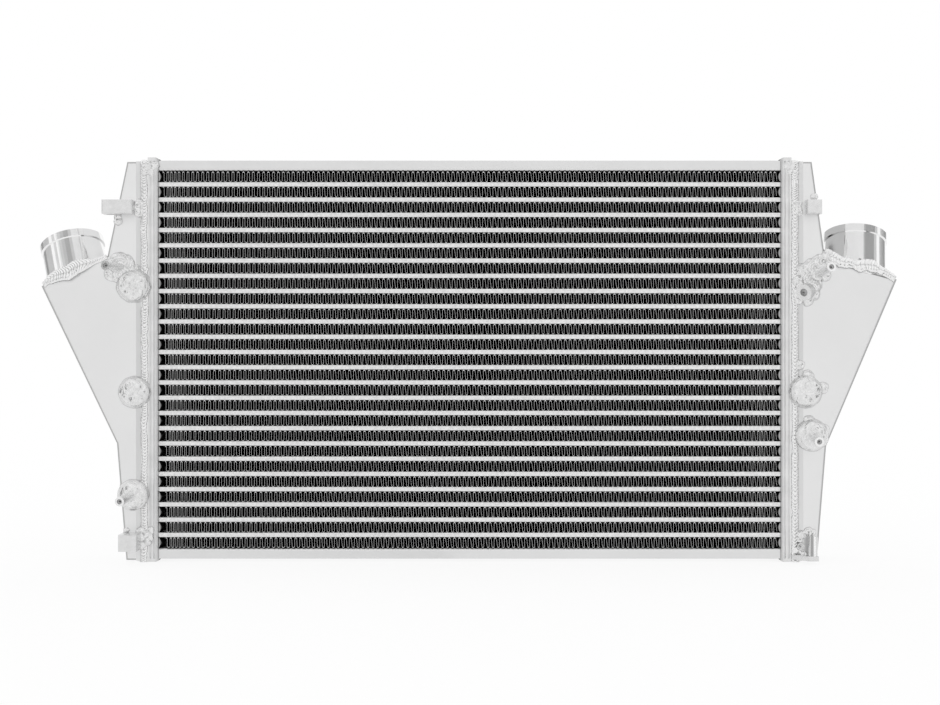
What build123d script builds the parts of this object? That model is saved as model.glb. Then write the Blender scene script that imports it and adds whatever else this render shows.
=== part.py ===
from build123d import *
import os
from dataclasses import dataclass
from math import ceil, cos, radians, sin, sqrt, tan

# Air-to-air charge cooler with a tube-and-fin core between two welded sheet-metal end tanks.
#
# Frame: X runs across the core (+X is the right-hand tank), Y is depth (the front faces -Y), Z is up.
# The pieces are drawn about the middle of the core, from the feet of the header plates up. Just before
# they are saved, all of them are moved so that the origin is at the middle of the whole object's base.
# Every length is in millimetres. A distance called "out" is measured from a header plate's fin side,
# away from the core, so that both tanks follow when the core is made wider or narrower.

# ---------------------------------------------------------------- core
CORE_WIDTH = 640.0             # between the fin sides of the two header plates
CORE_DEPTH = 60.0              # front to back, over the tubes
FIN_ROWS = 25                  # one more than the charge tubes
FIN_HEIGHT = 10.8
TUBE_HEIGHT = 4.9
TUBE_WALL = 0.8
TUBE_WEB = 0.8
TUBE_CHANNELS = 2              # side by side in the depth of one tube
TUBE_END_REACH = 2.0           # how far a tube's end stands out of the header's tank side

FIN_SHEET = 0.12               # real fin foil
FIN_PITCH = 5.15               # real length of one fold, crest to crest
FOLDS_DRAWN_AS_ONE = 10        # neighbouring folds drawn as one wide fold, of as much metal
FIN_END_GAP = 5.5              # clear width between the last fold and the header plate

# ---------------------------------------------------------------- side plates (top and bottom of the core)
SIDE_PLATE_HEIGHT = 11.2
SIDE_PLATE_SHEET = 2.5
SIDE_PLATE_BEND = 3.4          # outer bend radius

# ---------------------------------------------------------------- header plates (pressed trays)
HEADER_SHEET = 3.0
HEADER_REACH = 11.0            # fin side to the seam with the tank
HEADER_TUBE_GAP = 0.5          # between a tube's narrow side and the tray's wall, front and back
HEADER_OVER = 3.0              # rim standing proud of the side plates, top and bottom
HEADER_BEND = 3.2              # outer bend radius between the tray's floor and its rim
RIB_REACH = 2.8                # V rib between two tubes, towards the fins
RIB_FLAT = 0.3                 # flat land between a rib and a tube slot

# ---------------------------------------------------------------- end tanks
TANK_SHEET = 2.5
TANK_LIP = 7.0                 # straight lip that butts against the header rim and carries the weld
TANK_LIP_DROP = 4.0            # lip's top below the header's top
TANK_FLARE = 4.5               # slope from the lip to the tank's full depth
TANK_BEND = 2.6                # outer radius along the tank's long edges
TANK_TOP_DROP = 4.6            # tank's top below the header's top
TANK_FOOT_RISE = 2.0           # tank's foot above the header's foot
PORT_SIDE_MARGIN = 2.8         # tank wall beside the pipe, front and back

# ---------------------------------------------------------------- pipes
PIPE_OD = 63.5
PIPE_WALL = 2.0
LIP_OD = 66.5                  # rolled bead that keeps a hose on
LIP_LENGTH = 8.5
LIP_CHAMFER = 0.8

# ---------------------------------------------------------------- seam welds
SEAM_WELD_WIDTH = 7.0
SEAM_WELD_HEIGHT = 1.8
SEAM_WELD_CHAMFER = 1.5

# ---------------------------------------------------------------- sizes of the fittings on the tanks
BUNG_OD = 30.8
BUNG_HEIGHT = 7.0
BUNG_CHAMFER = 1.6
TILTED_BUNG_OD = 17.0
TILTED_BUNG_BORE = 8.0
TILTED_BUNG_HOLE = 10.0        # depth of its blind hole
TILTED_BUNG_REACH = 13.0
NIPPLE_OD = 8.2
NIPPLE_BORE = 5.3
NIPPLE_REACH = 42.0
BEAD_OD = 9.6                  # rolled bead at a nipple's tip, for a small hose
BEAD_LENGTH = 6.0
BAR_CHAMFER = 1.0              # on the front edges of the lugs and the block
LUG_INNER_OUT = 24.0
LUG_DROP = 59.4                # lug's foot below the header's top
LUG_HEIGHT = 14.6
LUG_DEPTH = 18.0
LEFT_LUG_WIDTH = 30.6
RIGHT_LUG_WIDTH = 14.8
LUG_HOLE = 8.5
LUG_HOLE_EDGE = 7.5            # hole's centre to the lug's outer end
BLOCK_OUT = 17.3
BLOCK_RISE = 13.7
BLOCK_WIDTH = 18.4
BLOCK_HEIGHT = 17.1
BLOCK_DEPTH = 30.0
FOOT_OUT = 11.0
FOOT_WIDTH = 24.0
FOOT_DEPTH = 20.0
FOOT_RISE = 3.0
FOOT_SHEET = 5.0
PIN_OD = 9.6
PIN_LENGTH = 20.0
PIN_EDGE = 0.4                 # shelf left round the pin

# ---------------------------------------------------------------- cutting
PAST = 1.0                     # how far a cutting solid reaches past what it cuts
HOLE_PAST_SHEET = 0.4          # the same, where the port face's hole must spare the wall beside it

# ---------------------------------------------------------------- lengths that follow from the above
CORE_HEIGHT = FIN_ROWS * FIN_HEIGHT + (FIN_ROWS - 1) * TUBE_HEIGHT + 2 * SIDE_PLATE_HEIGHT
HEADER_HEIGHT = CORE_HEIGHT + 2 * HEADER_OVER
HEADER_DEPTH = CORE_DEPTH + 2 * (HEADER_TUBE_GAP + HEADER_SHEET)
HEADER_FACE = CORE_WIDTH / 2
SEAM = HEADER_FACE + HEADER_REACH
FLARE_END = SEAM + TANK_LIP + TANK_FLARE
FIRST_FIN = HEADER_OVER + SIDE_PLATE_HEIGHT
ROW_PITCH = FIN_HEIGHT + TUBE_HEIGHT
PIPE_RADIUS = PIPE_OD / 2
BORE_RADIUS = PIPE_RADIUS - PIPE_WALL


@dataclass
class PortPipe:
    """A hose pipe set on a tank's sloping port face."""
    sideways: float            # degrees from upright, away from the core
    backwards: float           # degrees from upright, towards the back
    length: float              # along the pipe's axis, from the port face to the rim
    inner_margin: float        # port face left beside the pipe, on the core's side
    outer_margin: float        # port face left beside the pipe, on the outer side


@dataclass
class Tank:
    """The outline of one end tank, seen from the front."""
    side: str
    top_out: float             # outer end of the tank's top
    port_out: float            # inner end of the port face
    port_drop: float           # the same point, below the header's top
    port_slope: float          # fall of the port face, degrees
    knee_out: float            # where the lower slope meets the upright wall
    knee_rise: float
    foot_out: float            # outer end of the tank's foot
    pipe: PortPipe


LEFT_TANK = Tank("left", top_out=31.8, port_out=52.0, port_drop=101.3, port_slope=24.6,
                 knee_out=42.5, knee_rise=122.2, foot_out=32.8,
                 pipe=PortPipe(sideways=14.6, backwards=22.0, length=36.9,
                               inner_margin=9.3, outer_margin=1.0))
RIGHT_TANK = Tank("right", top_out=31.5, port_out=45.5, port_drop=106.0, port_slope=14.8,
                  knee_out=46.4, knee_rise=119.3, foot_out=37.0,
                  pipe=PortPipe(sideways=4.4, backwards=21.0, length=40.6,
                                inner_margin=6.1, outer_margin=5.4))


# ---------------------------------------------------------------- small helpers
BASE = (Align.CENTER, Align.CENTER, Align.MIN)


def span(low, high):
    """A box given by its lowest and highest corners."""
    size = [h - l for l, h in zip(low, high)]
    middle = [(h + l) / 2 for l, h in zip(low, high)]
    return Pos(*middle) * Box(*size)


def front_outline(points):
    """A face in the XZ plane."""
    return make_face(Polyline([(x, 0, z) for x, z in points], close=True))


def plan_outline(points):
    """A face in the XY plane."""
    return make_face(Polyline([(x, y, 0) for x, y in points], close=True))


def on_side(side, solid):
    """Parts are drawn on the right-hand side; the left-hand ones are their mirror images."""
    return solid if side == "right" else mirror(solid, Plane.YZ)


# ---------------------------------------------------------------- core
def charge_tube(index):
    """A flat extruded tube with webs inside; its ends pass through the header plates."""
    half_length = HEADER_FACE + HEADER_SHEET + TUBE_END_REACH
    section = Rectangle(CORE_DEPTH, TUBE_HEIGHT)
    channel_depth = (CORE_DEPTH - 2 * TUBE_WALL - (TUBE_CHANNELS - 1) * TUBE_WEB) / TUBE_CHANNELS
    channel = Rectangle(channel_depth, TUBE_HEIGHT - 2 * TUBE_WALL)
    for place in GridLocations(channel_depth + TUBE_WEB, 0, TUBE_CHANNELS, 1):
        section -= place * channel
    z = FIRST_FIN + FIN_HEIGHT + TUBE_HEIGHT / 2 + index * ROW_PITCH
    return Pos(0, 0, z) * extrude(Plane.YZ * section, half_length, both=True)


def fin_row(index):
    """One folded foil between two tubes: a zigzag whose crests touch both of them.

    Its thickness, measured upright, is the real one's metal spread over the width of a fold.
    """
    half_width = HEADER_FACE - FIN_END_GAP
    folds = ceil(2 * half_width / (FIN_PITCH * FOLDS_DRAWN_AS_ONE))
    half_fold = half_width / folds
    real_leg = sqrt(FIN_HEIGHT ** 2 + (FIN_PITCH / 2) ** 2)
    upright_foil = FIN_SHEET * real_leg / (FIN_PITCH / 2)
    low = FIRST_FIN + index * ROW_PITCH
    high = low + FIN_HEIGHT
    upper, lower = [], []
    for step in range(2 * folds + 1):
        x = -half_width + step * half_fold
        crest = step % 2 == 1
        upper.append((x, high if crest else low + upright_foil))
        lower.append((x, high - upright_foil if crest else low))
    return extrude(front_outline(upper + lower[::-1]), CORE_DEPTH / 2, both=True)


def side_plate(top):
    """A channel of bent sheet that closes the core; its flanges point away from the fins."""
    outer = Rectangle(CORE_DEPTH, SIDE_PLATE_HEIGHT, align=(Align.CENTER, Align.MIN))
    outer = fillet(outer.vertices().group_by(Axis.Y)[0], SIDE_PLATE_BEND)
    inner = Rectangle(CORE_DEPTH - 2 * SIDE_PLATE_SHEET, SIDE_PLATE_HEIGHT, align=(Align.CENTER, Align.MIN))
    section = outer - Pos(0, SIDE_PLATE_SHEET) * inner
    channel = extrude(Plane.YZ * section, HEADER_FACE, both=True)
    if top:
        return Pos(0, 0, HEADER_HEIGHT - FIRST_FIN) * channel
    return Pos(0, 0, FIRST_FIN) * mirror(channel, Plane.XY)


def header_plate(side):
    """A pressed tray: tube slots and V ribs in its floor, and a rim that the tank is welded to."""
    half_depth = HEADER_DEPTH / 2
    tray = span((HEADER_FACE, -half_depth, 0), (SEAM, half_depth, HEADER_HEIGHT))
    tray = fillet(tray.faces().sort_by(Axis.X)[0].edges(), HEADER_BEND)
    tray -= span((HEADER_FACE + HEADER_SHEET, HEADER_SHEET - half_depth, HEADER_SHEET),
                 (SEAM + PAST, half_depth - HEADER_SHEET, HEADER_HEIGHT - HEADER_SHEET))
    rib = front_outline([(HEADER_FACE + HEADER_SHEET / 2, RIB_FLAT), (HEADER_FACE, RIB_FLAT),
                         (HEADER_FACE - RIB_REACH, FIN_HEIGHT / 2), (HEADER_FACE, FIN_HEIGHT - RIB_FLAT),
                         (HEADER_FACE + HEADER_SHEET / 2, FIN_HEIGHT - RIB_FLAT)])
    rib = extrude(rib, half_depth - HEADER_BEND, both=True)
    tray += [Pos(0, 0, FIRST_FIN + row * ROW_PITCH) * rib for row in range(FIN_ROWS)]
    slot = span((HEADER_FACE - PAST, -CORE_DEPTH / 2, 0),
                (HEADER_FACE + HEADER_SHEET + PAST, CORE_DEPTH / 2, TUBE_HEIGHT))
    first_slot = FIRST_FIN + FIN_HEIGHT
    tray -= [Pos(0, 0, first_slot + row * ROW_PITCH) * slot for row in range(FIN_ROWS - 1)]
    return on_side(side, tray)


# ---------------------------------------------------------------- end tanks
def port_normal(tank):
    """Outward normal of a tank's port face."""
    slope = radians(tank.port_slope)
    return Vector(sin(slope), 0, cos(slope))


def port_along(tank):
    """Direction down the port face, away from the core."""
    slope = radians(tank.port_slope)
    return Vector(cos(slope), 0, -sin(slope))


def pipe_axis(tank):
    """Direction of a pipe's axis, from the port face to the rim."""
    return Vector(tan(radians(tank.pipe.sideways)), tan(radians(tank.pipe.backwards)), 1).normalized()


def footprint_reach(tank, direction, radius=PIPE_RADIUS):
    """How far a slanting round pipe's footprint on the port face reaches in a direction along it."""
    axis = pipe_axis(tank)
    slant = axis.dot(direction) / axis.dot(port_normal(tank))
    return radius * sqrt(1 + slant ** 2)


def tank_depth():
    """Both tanks are as deep as the wider of the two pipe footprints needs."""
    reach = max(footprint_reach(tank, Vector(0, 1, 0)) for tank in (LEFT_TANK, RIGHT_TANK))
    return 2 * (reach + PORT_SIDE_MARGIN)


TANK_DEPTH = tank_depth()


def port_start(tank):
    """The inner end of the port face, in the tank's outline."""
    return Vector(HEADER_FACE + tank.port_out, 0, HEADER_HEIGHT - tank.port_drop)


def port_length(tank):
    margins = tank.pipe.inner_margin + tank.pipe.outer_margin
    return margins + 2 * footprint_reach(tank, port_along(tank))


def pipe_foot(tank):
    """Where a pipe's axis meets the port face."""
    along = tank.pipe.inner_margin + footprint_reach(tank, port_along(tank))
    return port_start(tank) + port_along(tank) * along


def tank_volume(tank, inset, past_seam):
    """The tank's outer form with sharp edges, or with an inset the space inside its sheet."""
    lip_end = SEAM + TANK_LIP
    lip_top = HEADER_HEIGHT - TANK_LIP_DROP
    top = HEADER_HEIGHT - TANK_TOP_DROP
    start = port_start(tank)
    end = start + port_along(tank) * port_length(tank)
    outline = front_outline([
        (SEAM - past_seam, lip_top), (lip_end, lip_top), (FLARE_END, top),
        (HEADER_FACE + tank.top_out, top), (start.X, start.Z), (end.X, end.Z),
        (HEADER_FACE + tank.knee_out, tank.knee_rise), (HEADER_FACE + tank.foot_out, TANK_FOOT_RISE),
        (FLARE_END, TANK_FOOT_RISE), (lip_end, 0), (SEAM - past_seam, 0)])
    half_lip = HEADER_DEPTH / 2
    half_depth = TANK_DEPTH / 2
    far = end.X + past_seam + PAST
    plan = plan_outline([
        (SEAM - past_seam, -half_lip), (lip_end, -half_lip), (FLARE_END, -half_depth), (far, -half_depth),
        (far, half_depth), (FLARE_END, half_depth), (lip_end, half_lip), (SEAM - past_seam, half_lip)])
    if inset:
        outline = offset(outline, -inset, kind=Kind.INTERSECTION)
        plan = offset(plan, -inset, kind=Kind.INTERSECTION)
    return extrude(outline, TANK_DEPTH, both=True) & extrude(plan, HEADER_HEIGHT + PAST)


def end_tank(tank):
    """A shell of bent and welded sheet, open at the header and at the pipe.

    Its long edges are rounded beyond the flare.
    """
    sharp = tank_volume(tank, 0, 0)
    flare_plane = Plane(origin=(FLARE_END, 0, 0), z_dir=(1, 0, 0))
    neck = split(sharp, flare_plane, keep=Keep.BOTTOM)
    body = split(sharp, flare_plane, keep=Keep.TOP)
    rims = body.faces().filter_by(Axis.Y).edges()
    body = fillet([edge for edge in rims if edge.center().X > FLARE_END + TANK_BEND], TANK_BEND)
    shell = neck + body - tank_volume(tank, TANK_SHEET, 3 * TANK_SHEET)
    shell -= pipe_hole(tank)
    return on_side(tank.side, shell)


def pipe_frame(tank):
    return Plane(origin=pipe_foot(tank), x_dir=(1, 0, 0), z_dir=pipe_axis(tank))


def port_plane(tank, above=0.0):
    normal = port_normal(tank)
    return Plane(origin=pipe_foot(tank) + normal * above, x_dir=port_along(tank), z_dir=normal)


def pipe_hole(tank):
    """The hole in the port face, as wide as the pipe's bore, and cut through the sheet only."""
    tool = pipe_frame(tank) * Cylinder(BORE_RADIUS, 2 * PIPE_OD)
    tool = split(tool, port_plane(tank, PAST), keep=Keep.BOTTOM)
    return split(tool, port_plane(tank, -TANK_SHEET - HOLE_PAST_SHEET), keep=Keep.TOP)


def port_pipe(tank):
    """A short pipe with a rolled lip, cut to fit the port face."""
    length = tank.pipe.length
    below = PIPE_OD
    body = Pos(0, 0, -below) * Cylinder(PIPE_RADIUS, below + length, align=BASE)
    lip = Pos(0, 0, length - LIP_LENGTH) * Cylinder(LIP_OD / 2, LIP_LENGTH, align=BASE)
    pipe = body + chamfer(lip.edges().group_by(Axis.Z)[-1], LIP_CHAMFER)
    pipe -= Cylinder(BORE_RADIUS, 2 * (below + length))
    pipe = split(pipe_frame(tank) * pipe, port_plane(tank), keep=Keep.TOP)
    return on_side(tank.side, pipe)


def seam_weld(side):
    """The weld bead on the tank's lip, all round the seam, against the end of the header's rim."""
    half_depth = HEADER_DEPTH / 2
    lip_top = HEADER_HEIGHT - TANK_LIP_DROP
    high = SEAM + SEAM_WELD_WIDTH
    bead = span((SEAM, -half_depth - SEAM_WELD_HEIGHT, -SEAM_WELD_HEIGHT),
                (high, half_depth + SEAM_WELD_HEIGHT, lip_top + SEAM_WELD_HEIGHT))
    bead = chamfer(bead.faces().sort_by(Axis.X)[-1].edges(), SEAM_WELD_CHAMFER)
    bead -= span((SEAM - PAST, -half_depth, 0), (high + PAST, half_depth, lip_top))
    bead -= span((SEAM - PAST, -HEADER_DEPTH, -SEAM_WELD_HEIGHT - PAST), (high + PAST, HEADER_DEPTH, 0))
    return on_side(side, bead)


# ---------------------------------------------------------------- fittings on the tanks' front faces
TANK_FRONT = -TANK_DEPTH / 2


@dataclass
class Place:
    """A spot on a tank's front face, and the way a fitting points from there."""
    side: str
    out: float
    rise: float
    lean_out: float = 0.0      # degrees away from straight ahead, outwards
    lean_up: float = 0.0       # degrees away from straight ahead, upwards

    def spot(self):
        return HEADER_FACE + self.out, TANK_FRONT, self.rise

    def frame(self):
        """Z points out of the face, along the fitting."""
        aim = Vector(tan(radians(self.lean_out)), -1, tan(radians(self.lean_up))).normalized()
        return Plane(origin=self.spot(), x_dir=(1, 0, 0), z_dir=aim)

    def square_frame(self):
        """The same, but square to the face."""
        return Plane(origin=self.spot(), x_dir=(1, 0, 0), z_dir=(0, -1, 0))


def from_top(drop):
    """A height given as a distance below the header's top."""
    return HEADER_HEIGHT - drop


UPPER_NIPPLES = [Place("left", 37.0, from_top(113.0), lean_out=12.7),
                 Place("right", 38.5, from_top(121.0), lean_out=7.5, lean_up=9.0)]
LOWER_NIPPLES = [Place("left", 25.5, 69.3, lean_out=9.0, lean_up=-5.5),
                 Place("right", 30.4, 129.9, lean_out=1.7, lean_up=-6.0)]
BLANK_BUNGS = [Place("left", 25.0, from_top(131.9)), Place("left", 24.0, 174.6), Place("right", 24.8, 175.1)]
TILTED_BUNG = Place("right", 28.6, from_top(136.6), lean_out=-35.0, lean_up=-15.0)


def before_face(solid):
    """What of a fitting stands in front of the tank's face."""
    return split(solid, Plane(origin=(0, TANK_FRONT, 0), z_dir=(0, -1, 0)), keep=Keep.TOP)


def nipple_rod(place, diameter):
    """A round rod along a nipple's axis, from well inside the tank to the nipple's tip."""
    rod = Pos(0, 0, -NIPPLE_OD) * Cylinder(diameter / 2, NIPPLE_OD + NIPPLE_REACH, align=BASE)
    return place.frame() * rod


def bung(place):
    """A weld-on boss, blank or holding a nipple."""
    disc = Cylinder(BUNG_OD / 2, BUNG_HEIGHT, align=BASE)
    disc = place.square_frame() * chamfer(disc.edges().group_by(Axis.Z)[-1], BUNG_CHAMFER)
    if place in LOWER_NIPPLES:
        disc -= nipple_rod(place, NIPPLE_OD)
    return on_side(place.side, disc)


def nipple(place):
    """A small hose nipple with a bead at its tip, set on the tank or through a boss."""
    tube = before_face(nipple_rod(place, NIPPLE_OD))
    bead = Pos(0, 0, NIPPLE_REACH - BEAD_LENGTH) * Cylinder(BEAD_OD / 2, BEAD_LENGTH, align=BASE)
    bore = Cylinder(NIPPLE_BORE / 2, 3 * NIPPLE_REACH)
    return on_side(place.side, tube + place.frame() * bead - place.frame() * bore)


def tilted_bung():
    """A smaller boss with a blind hole, welded on askew."""
    hole_foot = TILTED_BUNG_REACH - TILTED_BUNG_HOLE
    boss = Cylinder(TILTED_BUNG_OD / 2, TILTED_BUNG_OD + TILTED_BUNG_REACH, align=BASE)
    boss = Pos(0, 0, -TILTED_BUNG_OD) * boss
    boss -= Pos(0, 0, hole_foot) * Cylinder(TILTED_BUNG_BORE / 2, TILTED_BUNG_HOLE + PAST, align=BASE)
    return on_side(TILTED_BUNG.side, before_face(TILTED_BUNG.frame() * boss))


def front_bar(inner_out, outer_out, foot, height, depth):
    """A square-edged bar welded to the tank's front face, with its four front edges broken."""
    bar = span((HEADER_FACE + inner_out, TANK_FRONT - depth, foot),
               (HEADER_FACE + outer_out, TANK_FRONT, foot + height))
    return chamfer(bar.faces().sort_by(Axis.Y)[0].edges(), BAR_CHAMFER)


def left_lug():
    """The left fixing lug; its outer end stands beyond the tank and takes an upright bolt."""
    outer = LUG_INNER_OUT + LEFT_LUG_WIDTH
    bar = front_bar(LUG_INNER_OUT, outer, from_top(LUG_DROP), LUG_HEIGHT, LUG_DEPTH)
    hole = Cylinder(LUG_HOLE / 2, HEADER_HEIGHT)
    bar -= Pos(HEADER_FACE + outer - LUG_HOLE_EDGE, TANK_FRONT - LUG_DEPTH / 2, from_top(LUG_DROP)) * hole
    return on_side("left", bar)


def right_lug():
    """The right fixing lug, a short square bar."""
    outer = LUG_INNER_OUT + RIGHT_LUG_WIDTH
    return front_bar(LUG_INNER_OUT, outer, from_top(LUG_DROP), LUG_HEIGHT, LUG_DEPTH)


def lower_block():
    """The solid square block low on the left tank."""
    bar = front_bar(BLOCK_OUT, BLOCK_OUT + BLOCK_WIDTH, BLOCK_RISE, BLOCK_HEIGHT, BLOCK_DEPTH)
    return on_side("left", bar)


def foot_bracket():
    """A three-cornered shelf low on the right tank, which carries the locating pin."""
    inner = HEADER_FACE + FOOT_OUT
    outer = inner + FOOT_WIDTH
    corner = outer - PIN_OD
    shelf = plan_outline([(inner, TANK_FRONT), (outer, TANK_FRONT), (outer, TANK_FRONT - FOOT_DEPTH),
                          (corner, TANK_FRONT - FOOT_DEPTH)])
    return Pos(0, 0, FOOT_RISE) * extrude(shelf, FOOT_SHEET)


def locating_pin():
    """A polished upright pin that stands on the foot bracket."""
    x = HEADER_FACE + FOOT_OUT + FOOT_WIDTH - PIN_OD / 2 - PIN_EDGE
    pin = Cylinder(PIN_OD / 2, PIN_LENGTH, align=BASE)
    return Pos(x, TANK_FRONT - FOOT_DEPTH + PIN_OD / 2 + PIN_EDGE, FOOT_RISE + FOOT_SHEET) * pin


# ---------------------------------------------------------------- all the pieces
pieces = {f"charge_tube_{number + 1:02d}": [charge_tube(number)] for number in range(FIN_ROWS - 1)}
pieces["air_fins"] = [fin_row(row) for row in range(FIN_ROWS)]
pieces["top_side_plate"] = [side_plate(top=True)]
pieces["bottom_side_plate"] = [side_plate(top=False)]
for tank in (LEFT_TANK, RIGHT_TANK):
    pieces[f"{tank.side}_header_plate"] = [header_plate(tank.side)]
    pieces[f"{tank.side}_end_tank"] = [end_tank(tank)]
    pieces[f"{tank.side}_seam_weld"] = [seam_weld(tank.side)]
    pieces[f"{tank.side}_port_pipe"] = [port_pipe(tank)]
pieces["weld_bungs"] = [bung(place) for place in BLANK_BUNGS + LOWER_NIPPLES]
pieces["hose_nipples"] = [nipple(place) for place in UPPER_NIPPLES + LOWER_NIPPLES]
pieces["tilted_bung"] = [tilted_bung()]
pieces["left_fixing_lug"] = [left_lug()]
pieces["right_fixing_lug"] = [right_lug()]
pieces["lower_block"] = [lower_block()]
pieces["foot_bracket"] = [foot_bracket()]
pieces["locating_pin"] = [locating_pin()]


def base_middle(solids):
    """The middle of the base of the box round a list of solids."""
    boxes = [solid.bounding_box() for solid in solids]
    low = [min(tuple(box.min)[axis] for box in boxes) for axis in range(3)]
    high = [max(tuple(box.max)[axis] for box in boxes) for axis in range(3)]
    return (low[0] + high[0]) / 2, (low[1] + high[1]) / 2, low[2]


to_origin = Pos(*base_middle(sum(pieces.values(), []))).inverse()

# ---------------------------------------------------------------- files
os.makedirs("parts", exist_ok=True)
for name, solids in pieces.items():
    moved = [to_origin * solid for solid in solids]
    export_step(moved[0] if len(moved) == 1 else Compound(children=moved), f"parts/{name}.step")
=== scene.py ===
import math

import bmesh
import bpy
import numpy as np
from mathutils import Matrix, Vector


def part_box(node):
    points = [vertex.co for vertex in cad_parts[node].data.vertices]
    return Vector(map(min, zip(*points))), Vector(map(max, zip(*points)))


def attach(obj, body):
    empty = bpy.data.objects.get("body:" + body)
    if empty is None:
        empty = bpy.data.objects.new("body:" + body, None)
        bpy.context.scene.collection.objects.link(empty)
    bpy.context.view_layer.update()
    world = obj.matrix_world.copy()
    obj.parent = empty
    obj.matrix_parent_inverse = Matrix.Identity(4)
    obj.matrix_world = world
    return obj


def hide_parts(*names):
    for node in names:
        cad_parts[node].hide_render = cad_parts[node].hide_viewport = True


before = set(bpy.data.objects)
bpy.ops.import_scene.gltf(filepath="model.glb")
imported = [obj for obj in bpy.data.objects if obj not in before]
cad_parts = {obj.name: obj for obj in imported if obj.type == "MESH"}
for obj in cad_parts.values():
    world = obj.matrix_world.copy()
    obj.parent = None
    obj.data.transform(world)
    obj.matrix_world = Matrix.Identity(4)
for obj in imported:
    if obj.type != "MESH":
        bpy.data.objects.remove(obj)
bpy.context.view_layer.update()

# Lengths in this script are millimetres about the middle of the core, from the header plates' feet up:
# +X to the right tank, -Y to the front. CORE_PLACE is that point in the row's frame, in metres.
MM = 0.001
fins_low, fins_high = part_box("air_fins")
CORE_PLACE = np.array([(fins_low.x + fins_high.x) / 2, (fins_low.y + fins_high.y) / 2, 0.0])

# the core: rows of fins with tubes between them, and a header plate at each end
HALF_DEPTH = 30.0
FIN_ROWS = 25
FIN_HEIGHT = 10.8
TUBE_HEIGHT = 4.9
FIRST_FIN = 14.2
ROW_PITCH = 15.7
HEADER_FACE = 320.0
HEADER_HEIGHT = 416.0
HEADER_HALF = 33.5

# each tank: half its depth, its seam with the header, and the lip beside that seam
TANK_HALF = 36.96
SEAM = 331.0
LIP_END = 338.0
LIP_TOP = 412.0

# the bosses on the tanks' fronts, X and Z
UPPER_LEFT_BOSS = (-345.0, 284.1)
MIDDLE_LEFT_BOSS = (-344.0, 174.6)
LOWER_LEFT_BOSS = (-345.5, 69.3)
MIDDLE_RIGHT_BOSS = (345.0, 175.1)
LOWER_RIGHT_BOSS = (351.5, 130.4)


# ---------------- meshes
def quad_mesh(name, vertices, quads, smooth=False):
    """An object in the row's frame, from millimetres about the core's middle."""
    vertices = np.asarray(vertices, dtype=np.float64) * MM + CORE_PLACE
    quads = np.asarray(quads, dtype=np.int32)
    mesh = bpy.data.meshes.new(name)
    mesh.vertices.add(len(vertices))
    mesh.vertices.foreach_set("co", vertices.astype(np.float32).ravel())
    mesh.loops.add(quads.size)
    mesh.loops.foreach_set("vertex_index", quads.ravel())
    mesh.polygons.add(len(quads))
    mesh.polygons.foreach_set("loop_start", np.arange(len(quads), dtype=np.int32) * 4)
    mesh.update(calc_edges=True)
    mesh.validate()
    if smooth:
        mesh.shade_smooth()
    else:
        mesh.shade_flat()
    return place_mesh(name, mesh)


def place_mesh(name, mesh):
    piece = bpy.data.objects.new(name, mesh)
    bpy.context.scene.collection.objects.link(piece)
    return piece


def finish_piece(piece, material, slot, *replaced):
    piece.data.materials.clear()
    piece.data.materials.append(material)
    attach(piece, "root")
    if replaced:
        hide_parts(*replaced)


class Shell:
    """Gathers vertices and quads of several closed forms into one mesh."""

    def __init__(self):
        self.vertices = []
        self.quads = []
        self.count = 0

    def add(self, vertices, quads):
        self.vertices.append(np.asarray(vertices, dtype=np.float64))
        self.quads.append(np.asarray(quads, dtype=np.int64) + self.count)
        self.count += len(vertices)

    def piece(self, name, smooth=False):
        return quad_mesh(name, np.concatenate(self.vertices), np.concatenate(self.quads), smooth)


def grid_quads(rows, columns, closed_rows=False, closed_columns=False):
    """Quads of a grid of vertices, rows x columns, numbered row by row."""
    r = np.arange(rows if closed_rows else rows - 1)
    c = np.arange(columns if closed_columns else columns - 1)
    r, c = np.meshgrid(r, c, indexing="ij")
    r2, c2 = (r + 1) % rows, (c + 1) % columns
    corners = [r * columns + c, r * columns + c2, r2 * columns + c2, r2 * columns + c]
    return np.stack(corners, -1).reshape(-1, 4)


# ---------------- material nodes
def node_material(name):
    material = bpy.data.materials.new(name)
    material.use_nodes = True
    tree = material.node_tree
    return material, tree, tree.nodes["Principled BSDF"]


def link(tree, source, target):
    tree.links.new(source, target)


def arithmetic(tree, operation, one, other=0.0, clamp=False):
    """One value worked with another; each is a node's output or a plain number."""
    node = tree.nodes.new("ShaderNodeMath")
    node.operation = operation
    node.use_clamp = clamp
    for socket, value in zip(node.inputs, (one, other)):
        if isinstance(value, float):
            socket.default_value = value
        else:
            link(tree, value, socket)
    return node.outputs[0]


def without_sign(tree, value):
    return arithmetic(tree, "ABSOLUTE", value)


def split(tree, vector):
    """A vector's X, Y and Z."""
    node = tree.nodes.new("ShaderNodeSeparateXYZ")
    link(tree, vector, node.inputs["Vector"])
    return node.outputs


def from_core(tree, axis):
    """How far along one axis a point is from the core's middle, in metres."""
    place = split(tree, tree.nodes.new("ShaderNodeTexCoord").outputs["Object"])
    return arithmetic(tree, "SUBTRACT", place[axis], float(CORE_PLACE["XYZ".index(axis)]))


def facing(tree):
    """The surface's outward direction, in X, Y and Z."""
    return split(tree, tree.nodes.new("ShaderNodeNewGeometry").outputs["Normal"])


def span(tree, value, low, high):
    """0 to 1 as a length in metres goes from low to high, which are in millimetres."""
    node = tree.nodes.new("ShaderNodeMapRange")
    node.inputs["From Min"].default_value = low * MM
    node.inputs["From Max"].default_value = high * MM
    link(tree, value, node.inputs["Value"])
    return node.outputs["Result"]


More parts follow.
